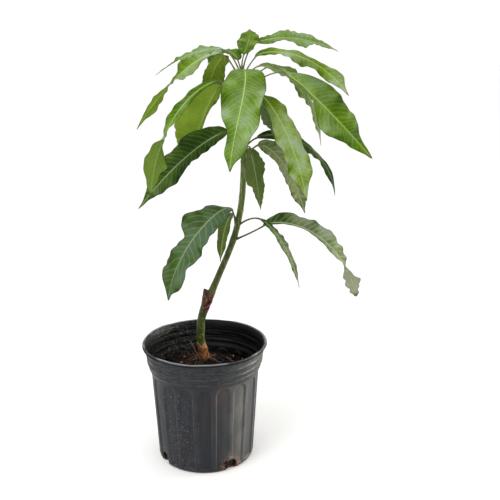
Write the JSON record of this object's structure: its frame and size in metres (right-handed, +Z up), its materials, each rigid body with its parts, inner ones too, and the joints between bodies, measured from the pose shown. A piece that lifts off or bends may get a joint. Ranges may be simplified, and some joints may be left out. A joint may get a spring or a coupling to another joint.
{
  "type": "mango tree sapling",
  "caption": "Young grafted mango tree with long drooping leathery leaves on a slim leaning trunk, standing in a black fluted nursery pot.",
  "frame": {"origin": "centre of the pot's flat underside", "axes": "+Z up the plant, -Y towards its front, +X towards the side the trunk leans to"},
  "size_m": [0.445, 0.2951, 0.8622],
  "materials": {
    "pot_plastic": "satin black blow-moulded polyethylene, dusty in the flutes",
    "potting_mix": "damp bark and peat mix with white perlite",
    "bark": "smooth green bark, brown and flaking at the foot and the graft",
    "young_leaf": "soft satin yellow-green leaf",
    "full_leaf": "leathery satin green leaf",
    "dark_leaf": "leathery glossy dark green leaf",
    "dusk_leaf": "old dull grey-green leaf"
  },
  "bodies": {
    "root": {"pot": "pot_plastic", "potting_soil": "potting_mix", "trunk": "bark", "crown_leaf_01": "full_leaf", "crown_leaf_02": "full_leaf", "crown_leaf_03": "young_leaf", "crown_leaf_04": "young_leaf", "crown_leaf_05": "full_leaf", "crown_leaf_06": "young_leaf", "crown_leaf_07": "full_leaf", "crown_leaf_08": "young_leaf", "crown_leaf_09": "young_leaf", "crown_leaf_10": "full_leaf", "crown_leaf_11": "young_leaf", "crown_leaf_12": "young_leaf", "crown_leaf_13": "young_leaf", "crown_leaf_14": "full_leaf", "crown_leaf_15": "full_leaf", "crown_leaf_16": "full_leaf", "crown_leaf_17": "full_leaf", "crown_leaf_18": "full_leaf", "middle_leaf_01": "dark_leaf", "middle_leaf_02": "dark_leaf", "middle_leaf_03": "dark_leaf", "middle_leaf_04": "dusk_leaf", "lower_leaf_01": "dark_leaf", "lower_leaf_02": "dark_leaf", "lower_leaf_03": "dusk_leaf", "lower_leaf_04": "dusk_leaf"}
  },
  "joints": []
}
